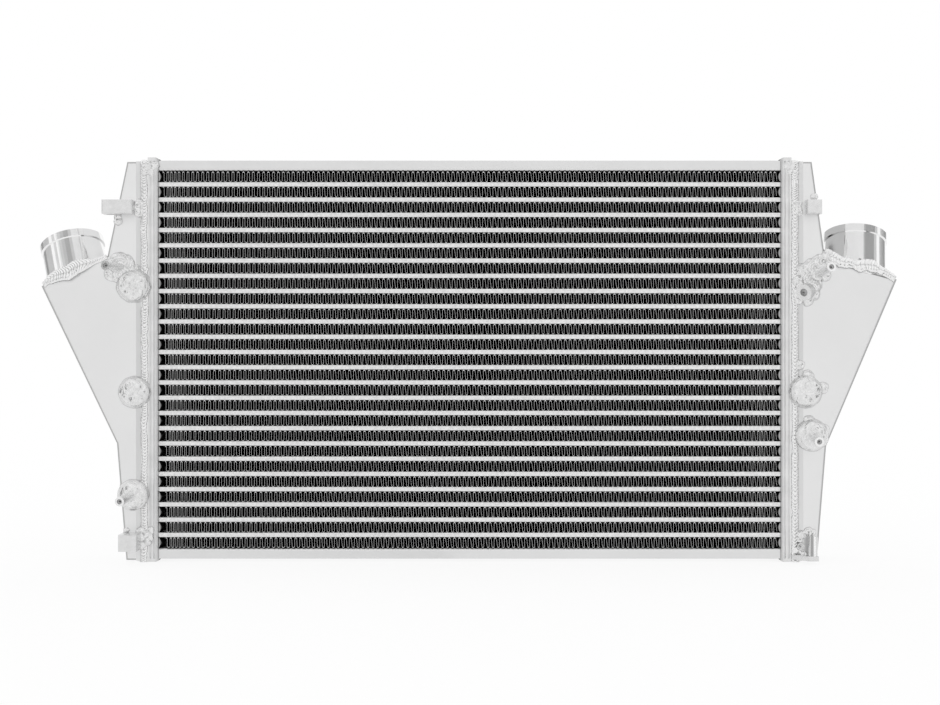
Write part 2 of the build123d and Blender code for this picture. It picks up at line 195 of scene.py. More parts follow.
def noise(tree, scale, detail, stretch=(1, 1, 1)):
    """Noise in object space; scale is in features a metre."""
    place = tree.nodes.new("ShaderNodeTexCoord")
    mapping = tree.nodes.new("ShaderNodeMapping")
    mapping.inputs["Scale"].default_value = stretch
    node = tree.nodes.new("ShaderNodeTexNoise")
    node.inputs["Scale"].default_value = scale
    node.inputs["Detail"].default_value = detail
    node.inputs["Roughness"].default_value = 0.6
    link(tree, place.outputs["Object"], mapping.inputs["Vector"])
    link(tree, mapping.outputs["Vector"], node.inputs["Vector"])
    return node.outputs["Fac"]


def ramp(tree, source, stops):
    """A tone that follows a value through its stops."""
    node = tree.nodes.new("ShaderNodeValToRGB")
    while len(node.color_ramp.elements) < len(stops):
        node.color_ramp.elements.new(0.5)
    for element, (position, tone) in zip(node.color_ramp.elements, stops):
        element.position = position
        element.color = (tone, tone, tone, 1)
    link(tree, source, node.inputs["Fac"])
    return node.outputs["Color"]


def bumps(tree, height, strength, depth):
    """The normal of a bumpy surface; depth is in millimetres."""
    node = tree.nodes.new("ShaderNodeBump")
    node.inputs["Strength"].default_value = strength
    node.inputs["Distance"].default_value = depth * MM
    link(tree, height, node.inputs["Height"])
    return node.outputs["Normal"]


def multiply(tree, one, other):
    """The product of two colours."""
    mix = tree.nodes.new("ShaderNodeMix")
    mix.data_type = "RGBA"
    mix.blend_type = "MULTIPLY"
    mix.inputs["Factor"].default_value = 1.0
    link(tree, one, mix.inputs[6])
    link(tree, other, mix.inputs[7])
    return mix.outputs[2]


# ---------------- materials
# painted shade along a tank's rounded bends: tones by how far its flat front has turned outwards, up or down
BEND_SHADE_TONES = [(0.20, 1.0), (0.38, 0.55), (0.78, 0.55), (0.92, 1.0)]
# painted shade on walls that face sideways: how far a wall faces sideways where it begins to be darker, and
# where it is as dark as it gets
SIDEWAYS_FROM, SIDEWAYS_TO = 0.70, 0.88
# painted shade between the tubes: how far behind and before the tubes' front the header goes from black to
# bright
DARK_BEHIND, BRIGHT_BEFORE = 3.0, 0.3


def bend_shade_line(tree):
    """Painted shade: a darker tone where a tank's flat front rounds over into its outer, top and bottom
    walls.
    """
    side = arithmetic(tree, "SIGN", from_core(tree, "X"))
    normal = facing(tree)
    outward = arithmetic(tree, "MULTIPLY", normal["X"], side)
    upright = without_sign(tree, normal["Z"])
    return ramp(tree, arithmetic(tree, "MAXIMUM", outward, upright), BEND_SHADE_TONES)


def front_of_core(tree):
    """0 between the tubes' front and back, 1 on what stands in front of them or behind: the mask of the
    header's painted shade.
    """
    deep = without_sign(tree, from_core(tree, "Y"))
    return span(tree, deep, HALF_DEPTH - DARK_BEHIND, HALF_DEPTH + BRIGHT_BEFORE)


def metal(name, dark, light, rough, mottle, grain, grain_stretch=(1, 1, 1), bump=0.1, bump_mm=0.02,
          creases=None, bands=None, sideways_shade=1.0, shaded_bends=False, shade_inside=False):
    """Bare aluminium: mottled colour, uneven gloss and a fine grain.

    Mottle and grain are in features a metre. Creases are the painted shade tones of hollows and ridges, found
    by pointiness.
    Bands are a range of X, whether it counts on either side of the core, and the tones across it: painted
    shade or painted reflections. Sideways shade is the painted shade tone of walls that face sideways. Shaded
    bends adds a painted shade line where a tank's front rounds over. Shade inside blackens what lies between
    the tubes' front and back, as painted shade.
    """
    material, tree, shader = node_material(name)
    shader.inputs["Metallic"].default_value = 1.0
    colour = ramp(tree, noise(tree, mottle, 5.0), [(0.3, dark), (0.7, light)])
    # creases: painted shade, darker in the hollows that pointiness finds
    if creases:
        shape = tree.nodes.new("ShaderNodeNewGeometry")
        colour = multiply(tree, colour, ramp(tree, shape.outputs["Pointiness"], creases))
    # bands: painted shade or painted reflections across a range of X
    if bands:
        low, high, either_side, tones = bands
        across = from_core(tree, "X")
        if either_side:
            across = without_sign(tree, across)
        colour = multiply(tree, colour, ramp(tree, span(tree, across, low, high), tones))
    # painted shade along the tank's rounded bends
    if shaded_bends:
        colour = multiply(tree, colour, bend_shade_line(tree))
    # painted shade: walls that face sideways are darker
    if sideways_shade < 1.0:
        sideways = without_sign(tree, facing(tree)["X"])
        tones = [(SIDEWAYS_FROM, 1.0), (SIDEWAYS_TO, sideways_shade)]
        colour = multiply(tree, colour, ramp(tree, sideways, tones))
    speckle = noise(tree, grain, 3.0, grain_stretch)
    gloss = ramp(tree, speckle, [(0.25, rough[0]), (0.75, rough[1])])
    # painted shade: black, matt and not metallic between the tubes' front and back
    if shade_inside:
        front = front_of_core(tree)
        link(tree, front, shader.inputs["Metallic"])
        colour = multiply(tree, colour, ramp(tree, front, [(0.0, 0.005), (1.0, 1.0)]))
        gloss = arithmetic(tree, "MAXIMUM", gloss, arithmetic(tree, "SUBTRACT", 1.0, front))
    link(tree, colour, shader.inputs["Base Color"])
    link(tree, gloss, shader.inputs["Roughness"])
    link(tree, bumps(tree, speckle, bump, bump_mm), shader.inputs["Normal"])
    return material


# how far in from its cut edge the foil stays bright, and the tones and metallic share across that length:
# deeper in it is painted black, as painted shade
FOIL_EDGE = 2.5
FOIL_SHADE_TONES = [(0.0, 0.003), (0.6, 0.008), (0.9, 0.04), (0.985, 0.80)]
FOIL_SHADE_METALLIC = [(0.9, 0.0), (0.985, 1.0)]


def fin_material():
    """Thin foil: bright at its cut edges, front and back, and painted dark inside as painted shade of the
    passages between the tubes.
    """
    material, tree, shader = node_material("fin_foil")
    depth = span(tree, without_sign(tree, from_core(tree, "Y")), HALF_DEPTH - FOIL_EDGE, HALF_DEPTH)
    link(tree, ramp(tree, depth, FOIL_SHADE_TONES), shader.inputs["Base Color"])
    link(tree, ramp(tree, depth, FOIL_SHADE_METALLIC), shader.inputs["Metallic"])
    shader.inputs["Specular IOR Level"].default_value = 0.0
    speckle = noise(tree, 900.0, 3.0)
    link(tree, ramp(tree, speckle, [(0.3, 0.28), (0.7, 0.45)]), shader.inputs["Roughness"])
    link(tree, bumps(tree, speckle, 0.2, 0.05), shader.inputs["Normal"])
    return material


SHEET_FINISH = dict(rough=(0.28, 0.38), mottle=12.0, grain=1800.0, grain_stretch=(1, 1, 0.15), bump=0.06,
                    shaded_bends=True)
# both tanks' sheets carry painted shade on their bends and sideways walls; the right tank's sideways walls
# are painted much darker
SHEET = metal("sheet_aluminium", 0.82, 0.85, sideways_shade=0.95, **SHEET_FINISH)
SIDE_SHADED_SHEET = metal("side_shaded_sheet_aluminium", 0.80, 0.83, sideways_shade=0.66, **SHEET_FINISH)
PLATE = metal("side_plate_aluminium", 0.755, 0.785, (0.30, 0.40), 12.0, 1800.0, (0.05, 1, 1), 0.08)
# painted shade: the header's inner edge darkens as it rounds away into the dark between the tubes
INNER_EDGE_SHADE = (HEADER_FACE - 4.0, HEADER_FACE + 4.0, True,
              [(0.15, 0.05), (0.21, 0.14), (0.28, 0.28), (0.34, 0.42), (0.46, 0.62), (0.60, 0.78),
               (0.75, 0.88), (1.0, 1.0)])
HEADER = metal("header_aluminium", 0.72, 0.84, (0.26, 0.40), 60.0, 1500.0, (1, 1, 0.3), 0.15,
               bands=INNER_EDGE_SHADE, shade_inside=True)
DRAWN_FINISH = dict(mottle=60.0, grain=3000.0, grain_stretch=(1, 1, 0.05), bump=0.04)
POLISHED = metal("polished_aluminium", 0.90, 0.94, (0.04, 0.10), **DRAWN_FINISH)
# painted reflections: bright and dark bands across the pin's X, as a turned pin mirrors its surroundings
PIN_REFLECTION_BANDS = (345.0, 354.6, False,
               [(0.14, 0.85), (0.22, 0.42), (0.46, 0.42), (0.52, 1.0), (0.74, 1.0), (0.80, 0.6),
                (0.86, 0.85)])
PIN = metal("pin_aluminium", 0.90, 0.94, (0.15, 0.25), bands=PIN_REFLECTION_BANDS, **DRAWN_FINISH)
# painted shade: a darker tone for the steps and plug that sit inside holes
SHADED_BORE = metal("shaded_bore_aluminium", 0.34, 0.44, (0.25, 0.40), 300.0, 2000.0)
TURNED = metal("turned_aluminium", 0.70, 0.78, (0.18, 0.32), 150.0, 3000.0, bump=0.15)
NIPPLE = metal("nipple_aluminium", 0.84, 0.92, (0.20, 0.32), 150.0, 3000.0, bump=0.12)
WELD_FINISH = dict(grain=700.0, bump=0.15, bump_mm=0.08)
# the crease tones paint shade into the welds' hollows
WELD = metal("weld_aluminium", 0.82, 0.90, (0.12, 0.26), 260.0, **WELD_FINISH,
             creases=[(0.42, 0.34), (0.48, 0.70), (0.498, 0.97), (0.54, 1.0)])
MOUND = metal("weld_mound_aluminium", 0.70, 0.86, (0.14, 0.30), 230.0, **WELD_FINISH,
              creases=[(0.42, 0.45), (0.475, 0.82), (0.497, 0.99), (0.56, 1.0)])
TUBE = metal("tube_aluminium", 0.72, 0.92, (0.25, 0.45), 500.0, 900.0, (0.6, 1, 1), 0.5, 0.15)
FOIL = fin_material()

# ---------------- air fins
FOIL_SHEET = 0.20
FIN_FOLD = 5.15
FIRST_CREST = 314.2
FIRST_FOLDS = [5.1, 3.4, 3.9, 4.1, 4.3, 4.75]
LAST_FOLDS = [5.05, 4.2, 4.75, 3.4, 4.0, 5.2, 4.1]
# the folds wave sideways through the core: Y and how far they have moved there
FOLD_DEPTHS = [(-30.0, 0.0), (-28.0, 0.0), (-13.0, -2.6), (0.0, 2.6), (13.0, -2.6), (28.0, 0.0), (30.0, 0.0)]
# a fold's crest and foot are short flats with brazed fillets, and its legs start and end off them
CREST_HALF, CREST_FILLET = 0.2, 0.75
FOOT_HALF, FOOT_FILLET = 0.32, 0.25
LEG_TOP_DROP, LEG_FOOT_RISE = 1.25, 1.3
LEG_TOP_LEFT, LEG_TOP_RIGHT = 1.05, 0.98
# from here on and over this length the legs come to lean a millimetre
LEAN_FROM, LEAN_OVER = -230.0, 120.0
# the pack leans a little: its left end steps inwards from the top row to the bottom row
PACK_STEP = 1.6
# keeps the foil's sharpest corners from spiking
LEAST_MITRE = 0.55


def crest_places():
    """Where a row's folds touch the tube above; the machine makes every row alike."""
    random = np.random.default_rng(5)
    length = 2 * FIRST_CREST - sum(FIRST_FOLDS) - sum(LAST_FOLDS)
    count = int(round(length / FIN_FOLD))
    middle = np.full(count, length / count) + random.normal(0, 0.16, count)
    middle += (length - middle.sum()) / count
    steps = np.concatenate([[0.0], FIRST_FOLDS, middle, LAST_FOLDS])
    return np.cumsum(steps) - FIRST_CREST


def fold_line(crests, low, high, random):
    """Centre line of a row's foil in X and Z, and how much thicker its underside is at each point."""
    points, fillets = [], []
    gaps = np.diff(crests, append=crests[-1] + FIN_FOLD)
    for place, gap in zip(crests, gaps):
        narrow = gap / FIN_FOLD
        lean = np.clip((place - LEAN_FROM) / LEAN_OVER, 0.0, 1.0) * narrow
        left = (-LEG_TOP_LEFT - random.uniform(0.0, 0.12)) * narrow
        right = (LEG_TOP_RIGHT + random.uniform(0.0, 0.25)) * narrow
        foot = (right + lean + gap + left) / 2
        for x, z, fillet in [
                (-CREST_HALF, high, CREST_FILLET), (CREST_HALF, high, CREST_FILLET),
                (right, high - LEG_TOP_DROP, 0.0),
                (right + lean + random.normal(0, 0.12), low + LEG_FOOT_RISE, 0.0),
                (foot - FOOT_HALF, low, FOOT_FILLET), (foot + FOOT_HALF, low, FOOT_FILLET),
                (gap + left + random.normal(0, 0.1), low + LEG_FOOT_RISE, 0.0),
                (gap + left, high - LEG_TOP_DROP, 0.0)]:
            points.append((place + x, z))
            fillets.append(fillet)
    # the last fold ends with its first leg
    return np.array(points[:-4]), np.array(fillets[:-4])


def offset_line(line, amount):
    """A polyline moved sideways, mitred."""
    along = np.diff(line, axis=0)
    along /= np.linalg.norm(along, axis=1, keepdims=True)
    normal = np.stack([-along[:, 1], along[:, 0]], 1)
    first = np.vstack([normal[:1], normal])
    last = np.vstack([normal, normal[-1:]])
    mitre = first + last
    mitre /= np.maximum((mitre * first).sum(1, keepdims=True), LEAST_MITRE)
    return line + mitre * amount


def fin_rows(name, rows, seed):
    random = np.random.default_rng(seed)
    shell = Shell()
    crests = crest_places()
    half_sheet = FOIL_SHEET / 2
    for row in rows:
        low = FIRST_FIN + row * ROW_PITCH + half_sheet
        high = low + FIN_HEIGHT - FOIL_SHEET
        step = PACK_STEP * (1 - 2 * row / (FIN_ROWS - 1))
        places = crests + step * (FIRST_CREST - crests) / (2 * FIRST_CREST)
        places = places + random.normal(0, 0.05, len(crests))
        line, fillets = fold_line(places, low, high, random)
        upper, lower = offset_line(line, half_sheet), offset_line(line, -half_sheet)
        crest = line[:, 1] > (low + high) / 2
        lower[:, 1] -= np.where(crest, fillets, 0.0)
        upper[:, 1] += np.where(crest, 0.0, fillets)
        for edge in (upper, lower):
            edge[:, 1] = np.clip(edge[:, 1], low - half_sheet, high + half_sheet)
        ring = np.vstack([upper, lower[::-1]])
        count = len(ring)
        side = random.choice([-1.0, 1.0])
        sections = [np.column_stack([ring[:, 0] + side * shift, np.full(count, depth), ring[:, 1]])
                    for depth, shift in FOLD_DEPTHS]
        quads = grid_quads(len(sections), count, closed_columns=True)
        half = np.arange(count // 2 - 1)
        front = np.stack([half + 1, half, count - 1 - half, count - 2 - half], 1)
        back = front[:, ::-1] + (len(sections) - 1) * count
        shell.add(np.concatenate(sections), np.concatenate([quads, front, back]))
    return shell.piece(name)


FIN_PIECES = 5
ROWS_A_PIECE = FIN_ROWS // FIN_PIECES
for part in range(FIN_PIECES):
    rows = range(part * ROWS_A_PIECE, (part + 1) * ROWS_A_PIECE)
    piece = fin_rows(f"fin_foil_{part + 1}", rows, 40 + part)
    finish_piece(piece, FOIL, "fin_aluminium", "air_fins")

# ---------------- charge tubes
TUBE_HALF = 325.0
TUBE_NOSE = 0.9
# the groove along the nose: how far back from it and how far below its middle
NOSE_GROOVE = [(0.05, 0.8), (0.28, 0.45), (0.34, 0.0)]
CHANNEL_WIDTH, CHANNEL_HEIGHT, CHANNEL_WEB = 28.8, 3.3, 0.8
JOIN_WITHIN = 0.001


def tube_outline():
    """A tube's outline, Y and Z: rounded nose with a shallow groove along its middle."""
    half = TUBE_HEIGHT / 2
    nose = []
    for angle in np.linspace(-90, 0, 5):
        a = math.radians(angle)
        nose.append((HALF_DEPTH - TUBE_NOSE + TUBE_NOSE * math.cos(a),
                     -half + TUBE_NOSE + TUBE_NOSE * math.sin(a)))
    nose += [(HALF_DEPTH - back, -below) for back, below in NOSE_GROOVE]
    upper = [(y, -z) for y, z in nose[-2::-1]]
    right = nose + upper
    left = [(-y, -z) for y, z in right]
    return right + left


def channel_outline(middle):
    """One of a tube's two channels, Y and Z."""
    y, z = CHANNEL_WIDTH / 2, CHANNEL_HEIGHT / 2
    return [(middle - y, -z), (middle - y, z), (middle + y, z), (middle + y, -z)]


def charge_tube(index):
    curve = bpy.data.curves.new(f"tube_curve_{index}", "CURVE")
    curve.dimensions = "2D"
    curve.fill_mode = "BOTH"
    curve.extrude = TUBE_HALF
    middle = (CHANNEL_WIDTH + CHANNEL_WEB) / 2
    for loop in (tube_outline(), channel_outline(-middle), channel_outline(middle)):
        spline = curve.splines.new("POLY")
        spline.points.add(len(loop) - 1)
        spline.use_cyclic_u = True
        for point, (y, z) in zip(spline.points, loop):
            point.co = (y, z, 0, 1)
    maker = bpy.data.objects.new("tube_maker", curve)
    mesh = bpy.data.meshes.new_from_object(maker)
    bpy.data.objects.remove(maker)
    co = np.empty(len(mesh.vertices) * 3, dtype=np.float32)
    mesh.vertices.foreach_get("co", co)
    co = co.reshape(-1, 3)
    z = FIRST_FIN + FIN_HEIGHT + TUBE_HEIGHT / 2 + index * ROW_PITCH
    placed = np.column_stack([co[:, 2], co[:, 0], co[:, 1] + z]) * MM + CORE_PLACE
    mesh.vertices.foreach_set("co", placed.astype(np.float32).ravel())
    joined = bmesh.new()
    joined.from_mesh(mesh)
    bmesh.ops.remove_doubles(joined, verts=joined.verts, dist=JOIN_WITHIN * MM)
    joined.to_mesh(mesh)
    joined.free()
    mesh.update()
    mesh.shade_flat()
    number = f"{index + 1:02d}"
    finish_piece(place_mesh(f"tube_{number}", mesh), TUBE, "tube_aluminium", f"charge_tube_{number}")


for index in range(FIN_ROWS - 1):
    charge_tube(index)

# ---------------- weld beads
# the share of a ripple's length over which it rises, and how unevenly ripples follow each other
RIPPLE_RISE = 0.75
RIPPLE_JITTER = 0.35


def smooth_noise(random, count, every):
    """A smooth random wave of about unit height, one swing in so many steps."""
    knots = random.normal(0, 1, count // every + 3)
    return np.interp(np.arange(count) / every, np.arange(len(knots)), knots)


def sawtooth(phase, rise):
    """A wave from 0 to 1 and back, which rises over that share of its length."""
    saw = phase - np.floor(phase)
    return np.where(saw < rise, saw / rise, (1 - saw) / (1 - rise))


def weld_bead(shell, path, normals, width, height, random, pitch, depth, sink, lag, wander=0.25, uneven=0.10,
              closed=False, step=0.45, columns=11):
    """A rippled bead along a path of points, with an outward normal at each.

    Width and height are one value or one for each point. Ripples are a pitch apart and take up a depth of
    the height, and they lag towards the bead's edges, as a puddle's do. The bead wanders sideways, its size
    is uneven, and its foot is sunk below the path.
    """
    path, normals = np.asarray(path, float), np.asarray(normals, float)
    if closed:
        path, normals = np.vstack([path, path[:1]]), np.vstack([normals, normals[:1]])
    lengths = np.concatenate([[0], np.cumsum(np.linalg.norm(np.diff(path, axis=0), axis=1))])
    count = max(int(lengths[-1] / step), 8)
    at = np.linspace(0, lengths[-1], count, endpoint=not closed)
    line = np.column_stack([np.interp(at, lengths, path[:, axis]) for axis in range(3)])
    up = np.column_stack([np.interp(at, lengths, normals[:, axis]) for axis in range(3)])
    up /= np.linalg.norm(up, axis=1, keepdims=True)
    if np.ndim(width):
        width = np.interp(at, lengths, width)
        height = np.interp(at, lengths, height)[:, None]
    if closed:
        along = np.roll(line, -1, 0) - np.roll(line, 1, 0)
    else:
        along = np.gradient(line, axis=0)
    along /= np.linalg.norm(along, axis=1, keepdims=True)
    side = np.cross(along, up)
    side /= np.linalg.norm(side, axis=1, keepdims=True)
    u = np.linspace(-1, 1, columns)

    def wave(pitches):
        return smooth_noise(random, count, max(int(pitches * pitch / step), 2))

    swell = 1 + uneven * wave(1.7)
    drift = wander * wave(3)
    jitter = RIPPLE_JITTER * wave(2)
    if closed:
        fade = np.minimum(1, np.minimum(np.arange(count), count - np.arange(count)) / (2 * pitch / step))
        swell, drift, jitter = 1 + (swell - 1) * fade, drift * fade, jitter * fade
    ripple = sawtooth(at[:, None] / pitch + jitter[:, None] - lag * u[None, :] ** 2, RIPPLE_RISE)
    dome = np.sqrt(np.maximum(1 - u ** 2, 0))[None, :]
    tall = height * dome * (1 - depth + depth * ripple) * np.clip(swell[:, None], 0.75, 1.15)
    half_width = (width * np.clip(swell, 0.7, 1.25) / 2)[:, None] * (1 + 0.10 * (ripple - 0.5))
    reach = half_width * u[None, :] + drift[:, None]
    top = line[:, None, :] + side[:, None, :] * reach[..., None] + up[:, None, :] * tall[..., None]
    foot = line - up * sink
    ring = np.concatenate([top, foot[:, None, :]], axis=1)
    quads = grid_quads(count, columns + 1, closed_rows=closed, closed_columns=True)
    if not closed:
        ends = []
        for row in (0, count - 1):
            base = row * (columns + 1)
            for c in range(0, columns - 1, 2):
                last = min(c + 2, columns - 1)
                quad = [base + columns, base + c, base + c + 1, base + last]
                ends.append(quad if row == 0 else quad[::-1])
        quads = np.concatenate([quads, np.array(ends)])
    shell.add(ring.reshape(-1, 3), quads)


def arc(centre, radius, start, end, count, axis_a, axis_b):
    """Points and outward directions along an arc in the plane of two axes."""
    angles = np.radians(np.linspace(start, end, count))
    a, b = np.asarray(axis_a, float), np.asarray(axis_b, float)
    outward = np.cos(angles)[:, None] * a + np.sin(angles)[:, None] * b
    return np.asarray(centre, float) + radius * outward, outward


SEAM_WELD_MIDDLE = (SEAM + LIP_END) / 2
SEAM_WELD_WIDTH = 7.0
SEAM_WELD_HEIGHT = 1.75
SEAM_WELD_STEP = 0.52
# the bend at the seam's corners, and how far beyond it the next straight run starts
SEAM_CORNER, PAST_CORNER = 0.6, 0.5


def seam_weld(side, sign, pitch, depth, wander, lag, seed):
    """The bead round the seam: up the front, across the top and down the back."""
    random = np.random.default_rng(seed)
    x = sign * SEAM_WELD_MIDDLE
    half, top, bend = HEADER_HALF, LIP_TOP, SEAM_CORNER
    points, normals = [], []

    def add(p, n):
        points.extend(p)
        normals.extend(n)

    add([(x, -half, 0.0), (x, -half, top - bend)], [(0, -1, 0)] * 2)
    add(*arc((x, -half + bend, top - bend), bend, 180, 90, 5, (0, 1, 0), (0, 0, 1)))
    add([(x, -half + bend + PAST_CORNER, top), (x, half - bend - PAST_CORNER, top)], [(0, 0, 1)] * 2)
    add(*arc((x, half - bend, top - bend), bend, 90, 0, 5, (0, 1, 0), (0, 0, 1)))
    add([(x, half, top - bend - PAST_CORNER), (x, half, 0.0)], [(0, 1, 0)] * 2)
    shell = Shell()
    weld_bead(shell, points, normals, SEAM_WELD_WIDTH, SEAM_WELD_HEIGHT, random, pitch, depth, sink=0.4,
              lag=lag, wander=wander, step=SEAM_WELD_STEP)
    finish_piece(shell.piece(f"{side}_seam_bead", smooth=True), WELD, "weld_metal", f"{side}_seam_weld")


seam_weld("left", -1, 3.1, 0.55, 0.55, 0.8, 7)
seam_weld("right", 1, 3.6, 0.60, 0.15, 1.1, 11)

# ---------------- weld mounds
# where the tank's front becomes flat beside the lip
FLARE_END = 342.5
BUNG_HEIGHT = 7.0
BUNG_RADIUS = 15.4
# the tank's outer edge below its widest part, left and right: X at the foot and at the knee above it
FOOT_LEVEL, KNEE_LEVEL = 2.0, 120.0
LEFT_FOOT, LEFT_KNEE = 352.8, 362.5
RIGHT_FOOT, RIGHT_KNEE = 357.0, 366.4
FLARE_SLOPE = 0.43
# above this the edge is too far out to matter
WIDE_FROM, FAR_OUT = 200.0, 1000.0

MOUND_GRID = 0.55
MOUND_TOP = LIP_TOP - 0.1
MOUND_PITCH = 2.9
MOUND_DEPTH = 0.13
MOUND_ROUGHNESS = 0.012
MOUND_RISE = 0.7
TORCH_AWAY = 0.45
# levels over the tank's face: of a point outside the weld, and the lowest that the weld's mesh takes in
OUTSIDE, LOWEST = -0.7, -0.5
MOUND_SINK = 1.2


def face_drop(x):
    """How far the tank's front lies behind its flat face, near the seam."""
    return np.clip((FLARE_END - np.abs(x)) / (FLARE_END - LIP_END), 0, 1) * (TANK_HALF - HEADER_HALF)


def tank_edge(x, z):
    """How far out the tank's front face reaches below its widest part."""
    foot, knee = np.where(x < 0, LEFT_FOOT, RIGHT_FOOT), np.where(x < 0, LEFT_KNEE, RIGHT_KNEE)
    below = foot + (knee - foot) * (z - FOOT_LEVEL) / (KNEE_LEVEL - FOOT_LEVEL)
    edge = np.where(z < KNEE_LEVEL, below, knee + FLARE_SLOPE * (z - KNEE_LEVEL))
    return np.where(z < WIDE_FROM, edge, FAR_OUT)


def soften(field):
    """Each value averaged with its neighbours."""
    for axis in (0, 1):
        count = field.shape[axis]
        ahead = np.take(field, [*range(1, count), count - 1], axis)
        behind = np.take(field, [0, *range(count - 1)], axis)
        field = (2 * field + ahead + behind) / 4
    return field


def domed(across, ripple, height):
    """A rippled dome over a puddle or a fillet, from 0 at its middle to 1 at its edge."""
    return np.sqrt(np.maximum(1 - across ** 2, 0)) * height * (1 - MOUND_DEPTH + MOUND_DEPTH * ripple)


def puddle_over(x, z, puddle, random):
    """A puddle's level at each point, and whether the point is on it."""
    px, pz, radius, height, base = (*puddle, 0.0)[:5]
    wobble = random.uniform(0, 2 * np.pi, 3)
    angle = np.arctan2(z - pz, x - px)
    edge = radius * (1 + 0.05 * np.sin(3 * angle + wobble[0]) + 0.03 * np.sin(5 * angle + wobble[1]))
    away = np.hypot(x - px, z - pz) / edge
    torch = TORCH_AWAY * radius
    from_torch = np.hypot(x - px - torch * np.cos(wobble[2]), z - pz - torch * np.sin(wobble[2]))
    cap = domed(away, 0.5 + 0.5 * np.cos(2 * np.pi * from_torch / MOUND_PITCH), height)
    if base:
        cap += base + face_drop(x)
    return cap, away < 1


def ring_over(x, z, ring, random):
    """A fillet's level at each point, and whether the point is on it."""
    px, pz, mean, width, height = ring
    angle = np.arctan2(z - pz, x - px)
    scallop = 1 + 0.05 * np.sin(7 * angle + random.uniform(0, 6))
    scallop = scallop + 0.04 * np.sin(11 * angle + random.uniform(0, 6))
    across = (np.hypot(x - px, z - pz) - mean) / (width * scallop)
    ripple = sawtooth(angle * mean / MOUND_PITCH - 0.5 * across ** 2, MOUND_RISE)
    return domed(across, ripple, height), np.abs(across) < 1


def weld_cells(used):
    """The grid's cells that a weld covers, with none that meet only at a corner."""
    cells = used[:-1, :-1] | used[1:, :-1] | used[:-1, 1:] | used[1:, 1:]
    rows, columns = cells.shape
    for _ in range(6):
        # cells that meet only at a corner get the two beside them
        first = cells[:-1, :-1] & cells[1:, 1:] & ~cells[1:, :-1] & ~cells[:-1, 1:]
        second = cells[1:, :-1] & cells[:-1, 1:] & ~cells[:-1, :-1] & ~cells[1:, 1:]
        corner = first | second
        for down in (0, 1):
            for across in (0, 1):
                cells[down:rows - 1 + down, across:columns - 1 + across] |= corner
    return cells


def mound(name, puddles, seed, rings=()):
    """Weld puddles on a tank's front: X, Z, radius, height and the level each rises from.

    Each puddle is a low dome with ripples round a point near its edge, where the torch left it, and they
    overlap with creases between. One that rises from a boss's face is measured from the tank's flat face.
    A ring is a fillet round a boss: X, Z, mean radius, width and height.
    """
    random = np.random.default_rng(seed)
    forms = [(x, z, r) for x, z, r, *rest in puddles]
    forms += [(x, z, mean + width) for x, z, mean, width, height in rings]
    left = min(x - r for x, z, r in forms) - 1.0
    right = max(x + r for x, z, r in forms) + 1.0
    low = max(min(z - r for x, z, r in forms) - 1.0, 0.0)
    high = min(max(z + r for x, z, r in forms) + 1.0, MOUND_TOP)
    x, z = np.meshgrid(np.linspace(left, right, int((right - left) / MOUND_GRID) + 1),
                       np.linspace(low, high, int((high - low) / MOUND_GRID) + 1))
    level = np.full(x.shape, OUTSIDE)
    for kind, level_over in ((puddles, puddle_over), (rings, ring_over)):
        for form in kind:
            cap, covered = level_over(x, z, form, random)
            level = np.where(covered, np.maximum(level, cap), level)
    level = soften(level)
    roughness = soften(random.normal(0, MOUND_ROUGHNESS * 4, level.shape))
    level = np.where(level > 0, level + roughness, level)
    level = np.where(np.abs(x) > tank_edge(x, z), OUTSIDE, level)
    face = -TANK_HALF + face_drop(x)
    cells = weld_cells(level > LOWEST)
    r, c = np.nonzero(cells)
    a = r * x.shape[1] + c
    b, d = a + 1, a + x.shape[1]
    e = d + 1
    faces = np.stack([a, b, e, d], 1)
    padded = np.pad(cells, 1)
    walls = []
    for beside, start, end in ((padded[:-2, 1:-1], a, b), (padded[1:-1, 2:], b, e),
                               (padded[2:, 1:-1], e, d), (padded[1:-1, :-2], d, a)):
        open_edge = ~beside[r, c]
        start, end = start[open_edge], end[open_edge]
        walls.append(np.stack([start, start + x.size, end + x.size, end], 1))
    quads = np.concatenate([faces, faces[:, ::-1] + x.size] + walls)
    vertices = np.concatenate([np.stack([x, y, z], -1).reshape(-1, 3)
                               for y in (face - level, face + MOUND_SINK)])
    kept, quads = np.unique(quads, return_inverse=True)
    shell = Shell()
    shell.add(vertices[kept], quads.reshape(-1, 4))
    finish_piece(shell.piece(name, smooth=True), MOUND, "weld_metal")


def boss_cover(place, seed, lobes, spread, height):
    """Overlapping puddles that close a boss's face."""
    random = np.random.default_rng(seed)
    x, z = place
    covers = [(x, z, 0.95 * BUNG_RADIUS, 2.4, BUNG_HEIGHT - 0.8),
              (x + random.uniform(-1, 1), z + random.uniform(-1, 1), 0.40 * BUNG_RADIUS, height,
               BUNG_HEIGHT + 0.4)]
    for turn in np.arange(lobes) * 2 * math.pi / lobes + random.uniform(0, 6):
        reach = BUNG_RADIUS * (spread + random.uniform(-0.05, 0.05))
        covers.append((x + reach * math.cos(turn), z + reach * math.sin(turn), 0.42 * BUNG_RADIUS,
                       height * random.uniform(0.7, 1.1), BUNG_HEIGHT + 0.2))
    return covers


